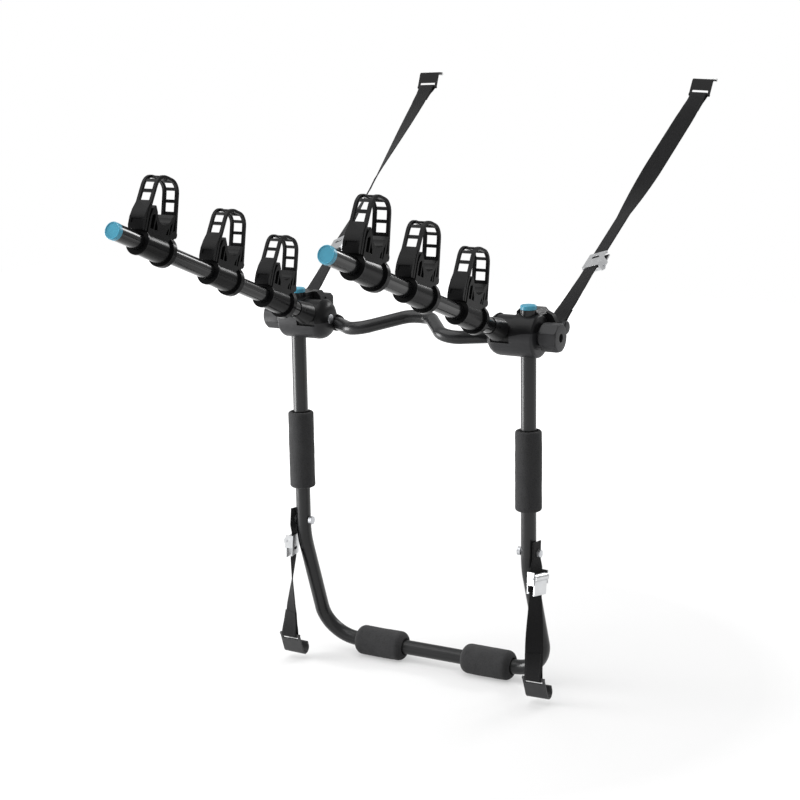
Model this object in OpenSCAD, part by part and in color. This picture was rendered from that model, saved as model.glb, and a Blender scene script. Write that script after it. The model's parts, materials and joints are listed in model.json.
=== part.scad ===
// Strap-on bike carrier for the back of a car: a bent lower frame, two hubs with a crossbar,
// two carrying arms with three sliding cradles each, and four webbing straps with cam buckles and hooks.
// Millimetres. X across the car, Y toward the car, Z up.
// The origin is the middle of the bottom bar, where the foot pads lean on the car.

/* [Frame] */
// Outer diameter of the lower frame tube
frame_tube_d = 25.4; // [25.0:0.1:25.8]
// Wall of the lower frame tube
frame_wall = 1.8; // [1.2:0.1:2.5]
// Distance between the two uprights, axis to axis
upright_spacing = 436; // [432:1:442]
// Height of the arm pivots above the bottom bar
pivot_height = 593; // [570:1:620]
// How far the bottom bar is set toward the car from the uprights
foot_setback = 73; // [60:1:85]
// Height above the bottom bar at which the legs kick toward the car
kick_height = 206; // [195:1:215]
// Bend radius where a leg turns into the bottom bar
corner_radius = 62; // [55:1:62]
// Diameter of the crossbar between the hubs
crossbar_d = 22; // [20:0.5:22.5]

/* [Foam] */
// Diameter of the foam sleeves on the uprights
sleeve_d = 44; // [38:1:48]
// Length of a foam sleeve
sleeve_length = 134; // [100:1:140]
// Height of the lower end of the left foam sleeve
sleeve_bottom_left = 293; // [286:1:298]
// Height of the lower end of the right foam sleeve
sleeve_bottom_right = 304; // [298:1:308]
// Diameter of the foot pads on the bottom bar
pad_d = 52; // [44:1:56]
// Length of a foot pad
pad_length = 94; // [80:1:94]
// Distance between the foot pads, middle to middle
pad_spacing = 212; // [200:1:220]

/* [Arms] */
// Outer diameter of a carrying arm
arm_d = 26; // [25.6:0.1:26.4]
// Length of an arm from its pivot to its end face
arm_length = 579; // [570:1:615]
// Distance from an upright's axis to its arm's axis, across the car
arm_inset = 37; // [36.6:0.1:37.4]
// Pitch of the left arm above level
arm_pitch_left = 21.4; // [19:0.1:23]
// Pitch of the right arm above level
arm_pitch_right = 19.9; // [19:0.1:23]

/* [Cradles] */
// Length of a cradle along its arm
cradle_length = 68; // [66:1:72]
// Radius of the trough that a bicycle tube lies in
trough_r = 18; // [16:0.5:19]
// Height of the top of the ladder strap above the arm's axis
ladder_height = 106; // [100:1:110]
// Width of a ladder strap
ladder_width = 28; // [26:1:29]

/* [Straps] */
// Width of the webbing
webbing_width = 30; // [27:0.5:30.5]
// Thickness of the webbing
webbing_t = 1.8; // [1.4:0.1:2.0]

/* [Hidden] */
$fn = 64;
// running gap between round faces of pieces that move on each other
gap = 0.3;
// snug gap between pieces that stay together
snug = 0.05;
upright_x = upright_spacing / 2;
frame_r = frame_tube_d / 2;
arm_r = arm_d / 2;
arm_x = upright_x - arm_inset;
kick_radius = 120;

// hub sizes, counted from the pivot axis
hub_r = 35;
hub_inner_x = upright_x - 65;
hub_outer_x = upright_x + 22;
hub_dome = 20;
hub_edge = 5;
// the angular housing behind the pivot, the seat of the strap pin behind that, and the wing beside the knob
box_x = [arm_x + 5, hub_outer_x - 2];
box_z = [-26, 41.5];
box_back = 40;
box_chamfer = 8;
seat_x = [arm_x + 3, upright_x + 4.5];
seat_z = [-22, 34];
seat_back = 60;
seat_chamfer = 5;
wing_front = 27;
wing_reach = 14;
// the line between pod and cover climbs toward the outer end
part_from = [arm_x - 16, -4];
part_to = [upright_x + 17, 9];
part_steps = 10;
// the drum on the arm's root, between the hub's walls
drum_r = 31.5;
drum_in = 15;
drum_out = 18;
drum_gap = 0.5;
slot_x = arm_x - drum_in - drum_gap;
slot_w = drum_in + drum_out + 2 * drum_gap;
slot_back = 22;
slot_low = -9;
bolt_r = 5;
bolt_head_r = 8;
bolt_head_t = 5;
socket_r = 15;
flare_r = 19;
flare_start = 37.5;
flare_gap = 0.8;
socket_end = 72;
socket_end_r = 14;
arm_seat = 40;
arm_wall = 2;
arm_pin_r = 2.5;
arm_pin_at = 62;
arm_pin_half = 15;
cap_t = 8;
cap_r = 13.4;
cap_rim = 2;
cap_recess = 1.2;
cap_plug = 18;
upright_top = 42;
plug_t = 8;
plug_r = frame_r + 0.6;
plug_depth = 14;
hub_screw_places = [[arm_x + 12, 48], [arm_x + 31, 32]];
hub_screw_r = 2.5;
hub_screw_head_r = 4.5;
hub_screw_head_t = 4;
hub_screw_top = 30;
hub_screw_low = -18;
// longer than any cut has to be
far = 100;

// knob on the outer end of the pivot bolt
knob_r = 24;
knob_start = hub_outer_x + 5;
knob_end = upright_x + 57;
knob_neck_r = 15;
knob_neck = 4.7;
knob_hollow = 8;
knob_hollow_r = 7;
knob_edge = 4;

// bends of the crossbar, counted from the pivot axis, right half
bar_end = [upright_x - 61, 25, -10];
bar_front = [0.39 * upright_x, -40, -7.5];
bar_back = [0.092 * upright_x, 37, 9];
bar_radius = 30;
bar_wall = 1.6;
boss_r = 14;
boss_out = 5;
boss_in = 22;

// strap anchor pin behind the hub
pin_at = [upright_x + 21, 50, 8];
pin_r = 5;
pin_head_r = 11;
pin_head_t = 8;
pin_reach = 16.5;
pin_root = 34;

// where the upper straps end, counted from the pivot axis, mirrored for the left side
upper_hook_left_at = [upright_x + 62, 580, 358];
upper_hook_right_at = [upright_x + 62, 580, 350];
// height of the lower strap bolts, and where the lower straps run, counted from those bolts, right side
lower_bolt_z = kick_height + 27;
strap_bolt_r = 4;
strap_bolt_head_r = 7;
strap_washer_r = 8;
lower_strap_from = [upright_x + 15.5, -1, 20];
lower_strap_to = [upright_x + 20, -24, -208];
// turn of the flat side along each strap: share of its length, degrees
upper_turn_right = [[0, 0], [0.2, 22], [0.45, 22], [0.66, -30], [0.88, -25], [1, 0]];
upper_turn_left = [[0, 0], [0.22, -25], [0.3, -25], [0.53, -55], [0.8, -20], [1, 0]];
lower_turn = [[0, 90], [0.13, 90], [0.19, 75], [0.39, 75], [0.54, 60], [0.94, 5], [1, 0]];
upper_buckle_s = 165;
lower_buckle_s = 66;

// cam buckle sizes
buckle_half = webbing_width / 2 + 3.5;
buckle_len = 36;
ear_t = 2;
ear_h = 12;
cam_pin_y = -8;
cam_pin_z = 8;
cam_pin_r = 2;
cam_r = 6.6;
lever_start = 3.5;
lever_len = 26;
lever_t = 2.4;
lever_inset = 0.8;

// hook sizes
hook_half = 20;
hook_t = 3;
hook_bar_r = 2.6;
hook_slot = 4.8;
upper_plate = 30;
upper_lip = 17;
upper_lip_angle = 67;
upper_hook_tilt = 29;
lower_plate = 34;
lower_curl_r = 9;
lower_lip = 17;
lower_hook_tilt = 26;

// cradle sizes, in the arm's own directions: front is toward the arm's end
sleeve_front_r = arm_r + 5;
sleeve_rear_r = arm_r + 7;
lip_r = arm_r + 7.5;
lip_t = 3;
flange_r = arm_r + 11;
flange_t = 9;
trough_z = 52;
saddle_half = 15;
saddle_low = 8;
saddle_front = -cradle_length / 2 + 1;
saddle_rear = cradle_length / 2 - 8;
post_z = 57;
post_t = 4;
post_lean = [2.7, 7];
post_start = 39;
shoulder_z = trough_z - 3;
pocket_depth = 8;
pocket_wall = 4;
pocket_low = 22;
pocket_top = 41;
rib_t = 2.4;
eye_y = cradle_length / 2 - 2;
eye_z = 27;
eye_r = 3.2;
eye_wall = 3;
lug_r = 6;
lug_t = 3.6;
lug_gap = 0.4;
lug_depth = 11;
catch_half = 9;
catch_h = 5;
catch_gap = 0.7;
ladder_t = 4.5;
panel_t = 2.6;
rail_w = 5;
rung_gap = 13;
// places of the cradles as shares of the arm's free length, from the root
cradle_start = 78;
cradle_free = arm_length - cradle_start;
cradle_share_left = [0.81, 0.44, 0.12];
cradle_share_right = [0.79, 0.483, 0.148];
cradle_at_left = [for (share = cradle_share_left) cradle_start + share * cradle_free];
cradle_at_right = [for (share = cradle_share_right) cradle_start + share * cradle_free];

// vector helpers
function unit(v) = v / norm(v);
function flip(p) = [-p[0], p[1], p[2]];

// a rounded line through flat points, moved sideways by off; a bend keeps its own radius
function bend_turn(a, p, b) = cross(unit(p - a), unit(b - p));
function bend_angle(a, p, b) = acos(min(1, max(-1, unit(p - a) * unit(b - p))));
function bend_points(a, p, b, r, off) =
  let (d = unit(p - a), turn = bend_turn(a, p, b) > 0 ? 1 : -1, angle = bend_angle(a, p, b),
       side = turn * [-d[1], d[0]], centre = p - d * r * tan(angle / 2) + side * r,
       start = atan2(-side[1], -side[0]), steps = max(2, ceil(angle / 15)))
  [for (i = [0 : steps]) let (t = start + turn * angle * i / steps)
    centre + (r - turn * off) * [cos(t), sin(t)]];
function end_point(a, b, off) = let (d = unit(b - a)) a + off * [-d[1], d[0]];
function rounded_line(p, r, off) = [
  end_point(p[0], p[1], off),
  for (i = [1 : len(p) - 2]) each bend_points(p[i - 1], p[i], p[i + 1], r[i - 1], off),
  let (n = len(p) - 1, d = unit(p[n] - p[n - 1])) p[n] + off * [-d[1], d[0]]];
function reversed(p) = [for (i = [len(p) - 1 : -1 : 0]) p[i]];
module flat_band(points, radii, t) {
  polygon(concat(rounded_line(points, radii, t / 2), reversed(rounded_line(points, radii, -t / 2))));
}

// a round bar bent through points in space; the bends are a hair thicker and swallow the straights' ends
bend_extra = 0.12;
bend_overlap = 0.5;
module ring(outer, inner) {
  difference() {
    circle(outer);
    circle(inner);
  }
}
module straight(a, b, r) {
  v = b - a;
  translate(a) rotate([0, acos(v[2] / norm(v)), atan2(v[1], v[0])]) cylinder(r = r, h = norm(v));
}
function tangent(a, p, b, r) = r * tan(bend_angle(a, p, b) / 2);
module elbow(a, p, b, r, bar_r) {
  d = unit(p - a);
  axis = unit(cross(d, unit(b - p)));
  centre = p - d * tangent(a, p, b, r) + r * cross(axis, d);
  out = -cross(axis, d);
  multmatrix([[out[0], d[0], axis[0], centre[0]], [out[1], d[1], axis[1], centre[1]],
              [out[2], d[2], axis[2], centre[2]], [0, 0, 0, 1]])
    rotate_extrude(angle = bend_angle(a, p, b)) translate([r, 0]) circle(bar_r + bend_extra);
}
module bent_bar(p, r, bar_r) {
  last = len(p) - 1;
  for (i = [0 : last - 1]) {
    d = unit(p[i + 1] - p[i]);
    from = i == 0 ? p[0] : p[i] + d * (tangent(p[i - 1], p[i], p[i + 1], r[i - 1]) - bend_overlap);
    to = i == last - 1 ? p[last] : p[i + 1] - d * (tangent(p[i], p[i + 1], p[i + 2], r[i]) - bend_overlap);
    straight(from, to, bar_r);
  }
  for (i = [1 : last - 1]) elbow(p[i - 1], p[i], p[i + 1], r[i - 1], bar_r);
}

// places: side mirrors the right half to the left, at_pivot moves to the pivot axis
module side(s) {
  if (s < 0) mirror([1, 0, 0]) children();
  else children();
}
module at_pivot() {
  translate([0, -foot_setback, pivot_height]) children();
}
module at_strap_bolt() {
  translate([0, -foot_setback, lower_bolt_z]) children();
}
module along_x(x) {
  translate([x, 0, 0]) rotate([0, 90, 0]) children();
}
module on_arm(pitch) {
  at_pivot() translate([arm_x, 0, 0]) rotate([-pitch, 0, 0]) children();
}
module round_along_x(from, to, r, corner_from, corner_to) {
  along_x(from) rotate_extrude() polygon(concat([[0, 0]], corner(r, 0, corner_from, -1),
    corner(r, to - from, corner_to, 1), [[0, to - from]]));
}
// the rounded corner of a turned profile at height h
function corner(r, h, c, up) = [for (i = [0 : 6])
  let (t = up < 0 ? -90 + 15 * i : 15 * i)
  [r - c + c * cos(t), h - up * c + c * sin(t)]];

// lower frame
frame_top = [upright_x, -foot_setback, pivot_height + upright_top];
frame_kick = [upright_x, -foot_setback, kick_height];
frame_corner = [upright_x, 0, 0];
frame_line = [frame_top, frame_kick, frame_corner, flip(frame_corner), flip(frame_kick), flip(frame_top)];
frame_bends = [kick_radius, corner_radius, corner_radius, kick_radius];
module lower_frame() {
  color([0.11, 0.11, 0.12]) difference() {
    bent_bar(frame_line, frame_bends, frame_r);
    bent_bar(frame_line, frame_bends, frame_r - frame_wall);
    for (s = [-1, 1]) side(s) at_pivot()
      along_x(upright_x - frame_tube_d) cylinder(r = bolt_r + gap, h = 2 * frame_tube_d);
    for (s = [-1, 1]) side(s) at_strap_bolt()
      along_x(upright_x - frame_tube_d) cylinder(r = strap_bolt_r + snug, h = 2 * frame_tube_d);
  }
}

// foam pieces: a turned barrel with rounded ends and a bore for its tube
module foam_barrel(length, d, bore, edge) {
  difference() {
    rotate_extrude()
      polygon(concat([[0, 0]], corner(d / 2, 0, edge, -1), corner(d / 2, length, edge, 1), [[0, length]]));
    translate([0, 0, -1]) cylinder(r = bore, h = length + 2);
  }
}
module foam_sleeve(s) {
  bottom = s < 0 ? sleeve_bottom_left : sleeve_bottom_right;
  color([0.2, 0.2, 0.2]) side(s) translate([upright_x, -foot_setback, bottom])
    foam_barrel(sleeve_length, sleeve_d, frame_r + snug, 4);
}
module foot_pad(s) {
  color([0.13, 0.13, 0.13]) side(s) along_x(pad_spacing / 2 - pad_length / 2)
    foam_barrel(pad_length, pad_d, frame_r + snug, 10);
}

// crossbar with a set-back middle
function from_pivot(p) = p + [0, -foot_setback, pivot_height];
bar_half = [bar_end, bar_front, bar_back];
bar_line = [for (p = bar_half) from_pivot(p), for (p = reversed(bar_half)) from_pivot(flip(p))];
module crossbar() {
  bends = [for (i = [1 : 4]) bar_radius];
  color([0.1, 0.1, 0.11]) difference() {
    bent_bar(bar_line, bends, crossbar_d / 2);
    bent_bar(bar_line, bends, crossbar_d / 2 - bar_wall);
  }
}

// hub: a pod below and a cover above, parted along a line that climbs toward the outer end
module slab_along_y(from, to, outline) {
  translate([0, to, 0]) rotate([90, 0, 0]) linear_extrude(to - from) polygon(outline);
}
function chamfered(x, z, c) = [[x[0] + c, z[0]], [x[1] - c, z[0]], [x[1], z[0] + c], [x[1], z[1] - c],
  [x[1] - c, z[1]], [x[0] + c, z[1]], [x[0], z[1] - c], [x[0], z[0] + c]];
bar_way = unit(bar_end - bar_front);
wing = [[hub_outer_x - 4, -14], [hub_outer_x + wing_reach - 2, -9], [hub_outer_x + wing_reach, -6],
  [hub_outer_x + wing_reach, 18], [hub_outer_x + wing_reach / 2, 31], [hub_outer_x - 4, 36]];
module hub_outline() {
  round_along_x(hub_inner_x, hub_outer_x, hub_r, hub_dome, hub_edge);
  slab_along_y(0, box_back, chamfered(box_x, box_z, box_chamfer));
  slab_along_y(wing_front, box_back - 1, wing);
  slab_along_y(box_back - 2, seat_back, chamfered(seat_x, seat_z, seat_chamfer));
  straight(bar_end - bar_way * boss_out, bar_end + bar_way * boss_in, boss_r);
}
module hub_hollows() {
  along_x(slot_x) cylinder(r = drum_r + drum_gap, h = slot_w);
  along_x(hub_inner_x - 1) cylinder(r = bolt_r + snug, h = hub_outer_x - hub_inner_x + 2);
  along_x(hub_inner_x - bolt_head_t) cylinder(r = bolt_head_r + snug, h = 2 * bolt_head_t - 1);
  translate([upright_x, 0, -far]) cylinder(r = frame_r + snug, h = 2 * far);
  straight(bar_end, bar_front, crossbar_d / 2 + snug);
  translate(pin_at) along_x(-pin_root) cylinder(r = pin_r + snug, h = far);
  for (p = hub_screw_places) translate([p[0], p[1], -far]) cylinder(r = hub_screw_r + snug, h = 2 * far);
}
function ease(t) = t * t * (3 - 2 * t);
part_line = [for (i = [0 : part_steps]) let (t = i / part_steps)
  [part_from[0] + (part_to[0] - part_from[0]) * t, part_from[1] + (part_to[1] - part_from[1]) * ease(t)]];
module above_parting() {
  end_x = hub_outer_x + far;
  above = [[end_x, part_to[1]], [end_x, far], [0, far], [0, part_from[1]]];
  slab_along_y(-far, far, concat(part_line, above));
}
module hub_pod(s) {
  color([0.16, 0.16, 0.17]) side(s) at_pivot() difference() {
    hub_outline();
    hub_hollows();
    above_parting();
    translate([slot_x, -far, slot_low]) cube([slot_w, far, far]);
  }
}
module hub_cover(s) {
  flare_half = flare_r + flare_gap;
  color([0.12, 0.12, 0.13]) side(s) at_pivot() difference() {
    intersection() {
      hub_outline();
      above_parting();
    }
    hub_hollows();
    translate([slot_x, -far, slot_low]) cube([slot_w, far + slot_back, far]);
    translate([arm_x - flare_half, -far, hub_r - 1]) cube([2 * flare_half, far + slot_back, far]);
    for (p = hub_screw_places) translate([p[0], p[1], hub_screw_top])
      cylinder(r = hub_screw_head_r + snug, h = far);
  }
}
module hub_screws() {
  color([0.3, 0.3, 0.31]) for (s = [-1, 1]) side(s) at_pivot() for (p = hub_screw_places)
    translate([p[0], p[1], 0]) {
      translate([0, 0, hub_screw_low]) cylinder(r = hub_screw_r, h = hub_screw_top - hub_screw_low);
      translate([0, 0, hub_screw_top]) cylinder(r = hub_screw_head_r, h = hub_screw_head_t);
    }
}
module pivot_bolts() {
  color([0.62, 0.63, 0.65]) for (s = [-1, 1]) side(s) at_pivot() {
    along_x(hub_inner_x) cylinder(r = bolt_r, h = knob_end - knob_hollow - 1 - hub_inner_x);
    along_x(hub_inner_x - 1) cylinder(r = bolt_head_r, h = bolt_head_t);
  }
}
module upright_plugs() {
  color([0.3, 0.72, 0.85]) for (s = [-1, 1]) side(s) at_pivot() translate([upright_x, 0, upright_top]) {
    translate([0, 0, -plug_depth]) cylinder(r = frame_r - frame_wall - snug, h = plug_depth);
    rotate_extrude() polygon(concat([[0, 0], [plug_r, 0]], corner(plug_r, plug_t, 3, 1), [[0, plug_t]]));
  }
}
module strap_pins() {
  color([0.25, 0.25, 0.26]) for (s = [-1, 1]) side(s) at_pivot() translate(pin_at) {
    along_x(-pin_root) cylinder(r = pin_r, h = pin_root + pin_reach);
    round_along_x(pin_reach, pin_reach + pin_head_t, pin_head_r, 1.5, 3);
  }
}
// each bolt goes through the upright and holds a strap between a washer and a nut
module strap_bolts() {
  tube_side = upright_x + frame_r;
  color([0.75, 0.76, 0.78]) for (s = [-1, 1]) side(s) at_strap_bolt() {
    along_x(upright_x - frame_r - 4) cylinder(r = strap_bolt_r, h = 2 * frame_r + 14);
    along_x(upright_x - frame_r - 6) cylinder(r = strap_bolt_head_r, h = 5.9);
    along_x(tube_side + snug) cylinder(r = strap_washer_r, h = 1);
    along_x(tube_side + 4.9) cylinder(r = strap_bolt_head_r, h = 5, $fn = 6);
  }
}

// eight-sided knob with a hollow end
module knob(s) {
  color([0.17, 0.17, 0.18]) side(s) at_pivot() difference() {
    union() {
      along_x(knob_start - knob_neck) cylinder(r = knob_neck_r, h = 2 * knob_neck);
      intersection() {
        along_x(knob_start) rotate(22.5) cylinder(r = knob_r, h = knob_end - knob_start, $fn = 8);
        round_along_x(knob_start, knob_end, knob_r, knob_edge, knob_edge);
      }
    }
    along_x(knob_start - far) cylinder(r = bolt_r + gap, h = 2 * far);
    along_x(knob_end - knob_hollow) cylinder(r = knob_hollow_r, h = far);
  }
}

// arm with its root drum, end cap and cross pin
module along_arm(from) {
  translate([0, -from, 0]) rotate([90, 0, 0]) children();
}
module arm_tube(s, pitch) {
  color([0.07, 0.07, 0.08]) side(s) on_arm(pitch) difference() {
    along_arm(arm_seat) linear_extrude(arm_length - cap_t - arm_seat) ring(arm_r, arm_r - arm_wall);
    translate([0, -arm_pin_at, 0]) along_x(-arm_d) cylinder(r = arm_pin_r + snug, h = 2 * arm_d);
  }
}
module arm_cap(s, pitch) {
  face_r = cap_r - cap_rim;
  face_t = cap_t - cap_recess;
  color([0.3, 0.72, 0.85]) side(s) on_arm(pitch) along_arm(arm_length - cap_t) {
    rotate_extrude() polygon(concat([[0, 0], [cap_r, 0]], corner(cap_r, cap_t, cap_rim / 2, 1),
      [[face_r + cap_recess / 2, cap_t], [face_r, face_t], [0, face_t]]));
    translate([0, 0, -cap_plug]) cylinder(r = arm_r - arm_wall - snug, h = cap_plug);
  }
}
module arm_root(s, pitch) {
  color([0.12, 0.12, 0.13]) side(s) on_arm(pitch) difference() {
    union() {
      along_x(-drum_in) cylinder(r = drum_r, h = drum_in + drum_out);
      along_arm(0) cylinder(r = socket_r, h = arm_seat);
      along_arm(flare_start) cylinder(r1 = flare_r, r2 = socket_end_r, h = socket_end - flare_start);
    }
    along_x(-far) cylinder(r = bolt_r + gap, h = 2 * far);
    along_arm(arm_seat) cylinder(r = arm_r + snug, h = far);
    translate([0, -arm_pin_at, 0]) along_x(-far) cylinder(r = arm_pin_r + snug, h = 2 * far);
  }
}
module arm_pin(s, pitch) {
  color([0.3, 0.3, 0.31]) side(s) on_arm(pitch) translate([0, -arm_pin_at, 0]) along_x(-arm_pin_half)
    cylinder(r = arm_pin_r, h = 2 * arm_pin_half);
}

// cradle: a sleeve round the arm with a trough across it for a bicycle tube, between a front and a rear post
module slab_along_x(half, outline) {
  translate([-half, 0, 0]) rotate([90, 0, 90]) linear_extrude(2 * half) polygon(outline);
}
saddle_side = [[saddle_front, saddle_low], [saddle_front, post_start],
  [saddle_front + post_lean[0], shoulder_z - 1], [saddle_front + post_lean[1], post_z],
  [saddle_front + post_lean[1] + post_t / 2, post_z], [-trough_r, shoulder_z], [trough_r, shoulder_z],
  [saddle_rear - post_t, post_z - 2], [saddle_rear, post_z - 2], [saddle_rear, saddle_low]];
// the pockets in the sides follow the posts and the trough
front_pocket = [[saddle_front + pocket_wall, pocket_low], [saddle_front + pocket_wall, pocket_top],
  [-trough_r - 5, pocket_top + 4], [-trough_r - 2.5, pocket_top], [-trough_r + 6, pocket_low + 6],
  [-trough_r + 7, pocket_low]];
rear_pocket = [for (p = front_pocket) [min(-p[0], saddle_rear - pocket_wall), p[1]]];
module cradle_pockets() {
  deep = saddle_half - pocket_depth;
  for (x = [-saddle_half - 1, deep]) translate([x + (pocket_depth + 1) / 2, 0, 0]) difference() {
    union() {
      slab_along_x((pocket_depth + 1) / 2, front_pocket);
      slab_along_x((pocket_depth + 1) / 2, rear_pocket);
    }
    for (y = [-trough_r - 3, trough_r - rib_t])
      translate([-pocket_depth, y, pocket_low - 1]) cube([2 * pocket_depth, rib_t, post_z]);
  }
}
module cradle_body() {
  half = cradle_length / 2;
  difference() {
    union() {
      along_arm(-half) cylinder(r1 = sleeve_rear_r, r2 = sleeve_front_r, h = cradle_length);
      along_arm(-half) cylinder(r = flange_r, h = flange_t);
      along_arm(half - lip_t) cylinder(r = lip_r, h = lip_t);
      slab_along_x(saddle_half, saddle_side);
    }
    along_arm(-half - 1) cylinder(r = arm_r + gap, h = cradle_length + 2);
    translate([0, 0, trough_z]) along_x(-far) cylinder(r = trough_r, h = 2 * far);
    cradle_pockets();
    translate([0, eye_y, eye_z]) along_x(-saddle_half + lug_t)
      cylinder(r = barrel_r + 2 * gap, h = 2 * (saddle_half - lug_t));
  }
  // lugs and the pin that the ladder strap turns on
  for (x = [-saddle_half, saddle_half - lug_t]) translate([x, 0, 0]) {
    translate([0, eye_y - lug_depth, eye_z - lug_depth]) cube([lug_t, lug_depth, lug_depth + lug_r / 2]);
    translate([0, eye_y, eye_z]) along_x(0) cylinder(r = lug_r, h = lug_t);
  }
  translate([0, eye_y, eye_z]) along_x(-saddle_half + 1) cylinder(r = eye_r, h = 2 * saddle_half - 2);
  // catch that the front end of the ladder strap snaps over
  translate([-catch_half, front_y + ladder_t / 2 + catch_gap, eye_z - catch_h])
    cube([2 * catch_half, saddle_front + 1 - front_y - ladder_t / 2 - catch_gap, catch_h]);
}
// ladder strap: an arch over the trough, with windows in both legs, rails along its edges and a front tab
front_y = -cradle_length / 2 - 2.8;
foot_z = arm_r + 3;
barrel_r = eye_r + gap + eye_wall;
arch_rear = [eye_y + barrel_r - ladder_t / 2, eye_z];
arch_top_rear = [20, ladder_height - ladder_t / 2];
arch_top_front = [-28, ladder_height - ladder_t / 2];
arch_front = [front_y, 42];
arch_foot = [front_y, foot_z];
arch = [arch_rear, arch_top_rear, arch_top_front, arch_front, arch_foot];
arch_bends = [20, 20, 30];
tab_z = 62;
tab_reach = 9;
tab = [[front_y + 4, tab_z], [front_y + 1, tab_z], [front_y - tab_reach + 3, tab_z - 16],
  [front_y - tab_reach, tab_z - 28], [front_y - tab_reach, foot_z + 6], [front_y - tab_reach + 2, foot_z],
  [front_y + 1.5, foot_z], [front_y + 1.5, arch_front[1]]];
tab_recess = 1.5;
module band_along_x(from, w, t) {
  translate([from, 0, 0]) rotate([90, 0, 90]) linear_extrude(w) flat_band(arch, arch_bends, t);
}
module window(a, b, along) {
  p = a + unit(b - a) * along;
  translate([0, p[0], p[1]]) rotate([atan2(b[1] - a[1], b[0] - a[0]), 0, 0])
    cube([ladder_width - 2 * rail_w - 1, rung_gap, 4 * ladder_t], center = true);
}
// a window across the middle of a bend at the top of the arch
module bend_window(a, p, b) {
  deep = arch_bends[0] * (1 / cos(bend_angle(a, p, b) / 2) - 1);
  mid = p + unit(unit(b - p) - unit(p - a)) * deep;
  way = unit(b - p) + unit(p - a);
  translate([0, mid[0], mid[1]]) rotate([atan2(way[1], way[0]), 0, 0])
    cube([ladder_width - 2 * rail_w - 1, rung_gap - 3, 4 * ladder_t], center = true);
}
module ladder_body() {
  half = ladder_width / 2;
  barrel_half = saddle_half - lug_t - lug_gap;
  rung_pitch = rung_gap + rail_w;
  difference() {
    union() {
      for (x = [-half, half - rail_w]) band_along_x(x, rail_w, ladder_t);
      band_along_x(-half + 1, ladder_width - 2, panel_t);
      slab_along_x(half - 0.5, tab);
      translate([0, eye_y, eye_z]) along_x(-barrel_half) cylinder(r = barrel_r, h = 2 * barrel_half);
    }
    translate([0, eye_y, eye_z]) along_x(-far) cylinder(r = eye_r + gap, h = 2 * far);
    for (x = [-far - barrel_half, barrel_half])
      translate([x, eye_y, eye_z]) along_x(0) cylinder(r = lug_r + 2 * lug_gap, h = far);
    for (i = [0 : 1]) window(arch_rear, arch_top_rear, 42 + i * rung_pitch);
    window(arch_top_front, arch_front, 36);
    bend_window(arch_rear, arch_top_rear, arch_top_front);
    bend_window(arch_top_rear, arch_top_front, arch_front);
    translate([-catch_half, front_y - tab_reach - 1, foot_z + 9]) cube([2 * catch_half, 1 + tab_recess, 7]);
  }
}
module cradle(s, pitch, at) {
  color([0.1, 0.1, 0.11]) side(s) on_arm(pitch) translate([0, -at, 0]) cradle_body();
}
module ladder(s, pitch, at) {
  color([0.09, 0.09, 0.09]) side(s) on_arm(pitch) translate([0, -at, 0]) ladder_body();
}

// straps: a straight run from a to b whose flat side turns on the way
function across(d) = unit([1, 0, 0] - d[0] * d);
function turned(d, t) = across(d) * cos(t) + cross(across(d), d) * sin(t);
module strap_at(line, along, turn) {
  d = unit(line[1] - line[0]);
  w = turned(d, turn);
  n = cross(w, d);
  p = line[0] + d * along;
  multmatrix([[w[0], d[0], n[0], p[0]], [w[1], d[1], n[1], p[1]], [w[2], d[2], n[2], p[2]], [0, 0, 0, 1]])
    children();
}
strap_rings = 24;
module webbing_run(line, from, to, turns) {
  d = unit(line[1] - line[0]);
  long = norm(line[1] - line[0]);
  points = [for (i = [0 : strap_rings])
    let (along = from + (to - from) * i / strap_rings)
    let (w = turned(d, lookup(along / long, turns)), n = cross(w, d))
    for (c = [[-1, -1], [1, -1], [1, 1], [-1, 1]])
      line[0] + d * along + w * c[0] * webbing_width / 2 + n * c[1] * webbing_t / 2];
  walls = [for (i = [0 : strap_rings - 1]) for (k = [0 : 3])
    [4 * i + k, 4 * i + (k + 1) % 4, 4 * i + 4 + (k + 1) % 4, 4 * i + 4 + k]];
  last = 4 * strap_rings;
  polyhedron(points, concat([[3, 2, 1, 0], [last, last + 1, last + 2, last + 3]], walls));
}
module webbing_loop(r) {
  along_x(-webbing_width / 2) linear_extrude(webbing_width) ring(r + gap + webbing_t, r + gap);
}
upper_start = pin_at + [0.5, 0, 0];
function upper_line(s) = [upper_start, s < 0 ? upper_hook_left_at : upper_hook_right_at];
lower_line = [lower_strap_from, lower_strap_to];
function upper_long(s) = norm(upper_line(s)[1] - upper_line(s)[0]);
lower_long = norm(lower_line[1] - lower_line[0]);
function upper_turns(s) = s < 0 ? upper_turn_left : upper_turn_right;
module upper_place(s, along) {
  strap_at(upper_line(s), along, lookup(along / upper_long(s), upper_turns(s))) children();
}
module lower_place(along) {
  strap_at(lower_line, along, lookup(along / lower_long, lower_turn)) children();
}
hook_loop = hook_bar_r + gap + webbing_t / 2;
module upper_webbing(s) {
  color([0.09, 0.09, 0.1]) side(s) at_pivot() {
    webbing_run(upper_line(s), pin_r + gap + webbing_t / 2, upper_long(s) - hook_loop, upper_turns(s));
    translate(upper_start) webbing_loop(pin_r);
    upper_place(s, upper_long(s)) webbing_loop(hook_bar_r);
  }
}
module lower_webbing(s) {
  color([0.09, 0.09, 0.1]) side(s) at_strap_bolt() {
    difference() {
      webbing_run(lower_line, 0, lower_long - hook_loop, lower_turn);
      along_x(upright_x) cylinder(r = strap_bolt_r + gap, h = far);
    }
    lower_place(lower_long) webbing_loop(hook_bar_r);
  }
}

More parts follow.
